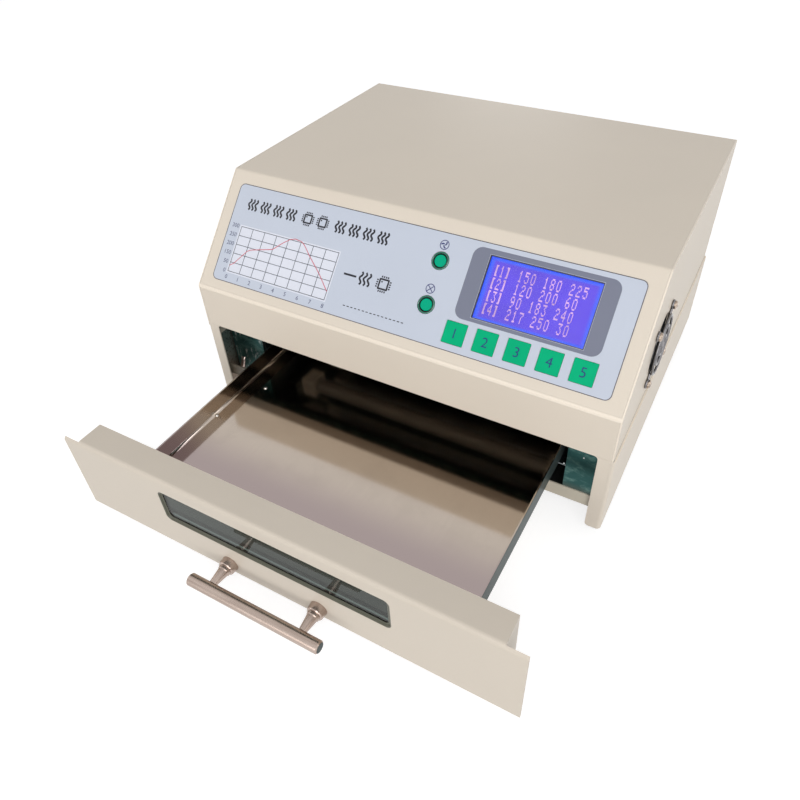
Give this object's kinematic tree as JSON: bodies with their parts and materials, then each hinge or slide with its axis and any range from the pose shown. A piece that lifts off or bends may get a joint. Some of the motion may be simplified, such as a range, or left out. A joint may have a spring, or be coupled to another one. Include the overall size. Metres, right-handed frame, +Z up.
{
  "type": "reflow oven",
  "caption": "Bench-top infrared reflow oven: sheet-metal case with a sloping control panel, and a glazed pull-out drawer whose tray slides into a heated chamber.",
  "frame": {"origin": "under the middle of the bounding box, on the surface that the feet stand on, with the drawer out at its rest place", "axes": "+X to the right as seen from the front, +Y from the drawer front to the back, +Z up"},
  "size_m": [0.3122, 0.4214, 0.17],
  "materials": {
    "cream_paint": "smooth eggshell paint",
    "stainless": "bright rolled stainless sheet",
    "reflector_sheet": "polished",
    "quartz": "milky quartz",
    "resistance_wire": "oxidised coil, as one rod",
    "ceramic": "unglazed ceramic",
    "ceramic_wool": "compressed wool",
    "probe_steel": "satin",
    "label_film": "satin printed film",
    "clear_plastic": "clear",
    "grey_plastic": "satin",
    "display_blue": "lit blue screen",
    "circuit_board": "solder mask",
    "plated_steel": "bright plated",
    "switch_plastic": "satin",
    "lamp_green": "clear green lens",
    "lamp_ring": "black",
    "plated_sheet": "zinc plated",
    "core_steel": "varnished laminations",
    "copper_coil": "varnished windings",
    "heatsink": "extruded",
    "relay_blue": "moulded",
    "wire_red": "soft sleeve",
    "impeller_black": "satin",
    "fuse_black": "satin",
    "rocker_black": "satin",
    "foot_rubber": "matte",
    "window_glass": "clear toughened",
    "satin_nickel": "satin nickel",
    "key_green": "satin, with a plain number"
  },
  "bodies": {
    "cabinet": {"side_panel_left": "cream_paint", "side_panel_right": "cream_paint", "front_crossbar": "cream_paint", "base_pan": "cream_paint", "top_cover": "cream_paint", "rear_panel": "cream_paint", "chamber_front": "stainless", "chamber_shell": "stainless", "chamber_rear_wall": "stainless", "reflector": "reflector_sheet", "heater_tubes": "quartz", "heater_filaments": "resistance_wire", "heater_end_caps": "ceramic", "heater_brackets": "stainless", "insulation_blanket": "ceramic_wool", "drawer_runners": "stainless", "temperature_probes": "probe_steel", "label_panel": "label_film", "display_window": "clear_plastic", "display_frame": "grey_plastic", "display_screen": "display_blue", "control_board": "circuit_board", "board_spacers": "plated_steel", "key_switches": "switch_plastic", "indicator_lamps": "lamp_green", "indicator_bezels": "lamp_ring", "electronics_deck": "plated_sheet", "transformer_core": "core_steel", "transformer_coil": "copper_coil", "power_board": "circuit_board", "triac_heatsink": "heatsink", "power_relays": "relay_blue", "wiring_loom": "wire_red", "exhaust_fan_frame": "switch_plastic", "exhaust_fan_guard": "plated_steel", "side_fan_frame": "switch_plastic", "side_fan_guard": "plated_steel", "side_fan_screws": "plated_steel", "mains_inlet": "switch_plastic", "inlet_pins": "plated_steel", "switch_housing": "switch_plastic", "rear_screws": "plated_steel", "rubber_feet": "foot_rubber", "foot_screws": "plated_steel"},
    "drawer": {"drawer_front": "cream_paint", "window_glass": "window_glass", "window_keeper": "stainless", "drawer_tray": "stainless", "handle_bar": "satin_nickel", "handle_posts": "satin_nickel", "drawer_screws": "plated_steel"},
    "exhaust_impeller": {"exhaust_impeller": "impeller_black"},
    "side_impeller": {"side_impeller": "impeller_black"},
    "fuse_drawer": {"fuse_drawer": "fuse_black"},
    "power_rocker": {"power_rocker": "rocker_black"},
    "key_1": {"key_1": "key_green"},
    "key_2": {"key_2": "key_green"},
    "key_3": {"key_3": "key_green"},
    "key_4": {"key_4": "key_green"},
    "key_5": {"key_5": "key_green"}
  },
  "joints": [
    {"name": "drawer_slide", "type": "slide", "parent": "cabinet", "child": "drawer", "axis": [0, -1, 0], "range_m": [-0.1318, 0.04]},
    {"name": "exhaust_fan_spin", "type": "hinge", "parent": "cabinet", "child": "exhaust_impeller", "pos_m": [-0.00115, 0.1918, 0.064], "axis": [0, 1, 0], "continuous": true},
    {"name": "side_fan_spin", "type": "hinge", "parent": "cabinet", "child": "side_impeller", "pos_m": [0.14685, 0.0263, 0.1055], "axis": [1, 0, 0], "continuous": true},
    {"name": "fuse_drawer_slide", "type": "slide", "parent": "cabinet", "child": "fuse_drawer", "axis": [0, 1, 0], "range_m": [0, 0.015]},
    {"name": "power_rocker_tilt", "type": "hinge", "parent": "cabinet", "child": "power_rocker", "pos_m": [0.06085, 0.2006, 0.1382], "axis": [1, 0, 0], "range_deg": [-18, 0]},
    {"name": "key_1_press", "type": "slide", "parent": "cabinet", "child": "key_1", "axis": [0, 0.724, -0.6898], "range_m": [0, 0.0005], "stiffness_N_per_m": 600, "springref_m": -0.0003},
    {"name": "key_2_press", "type": "slide", "parent": "cabinet", "child": "key_2", "axis": [0, 0.724, -0.6898], "range_m": [0, 0.0005], "stiffness_N_per_m": 600, "springref_m": -0.0003},
    {"name": "key_3_press", "type": "slide", "parent": "cabinet", "child": "key_3", "axis": [0, 0.724, -0.6898], "range_m": [0, 0.0005], "stiffness_N_per_m": 600, "springref_m": -0.0003},
    {"name": "key_4_press", "type": "slide", "parent": "cabinet", "child": "key_4", "axis": [0, 0.724, -0.6898], "range_m": [0, 0.0005], "stiffness_N_per_m": 600, "springref_m": -0.0003},
    {"name": "key_5_press", "type": "slide", "parent": "cabinet", "child": "key_5", "axis": [0, 0.724, -0.6898], "range_m": [0, 0.0005], "stiffness_N_per_m": 600, "springref_m": -0.0003}
  ]
}
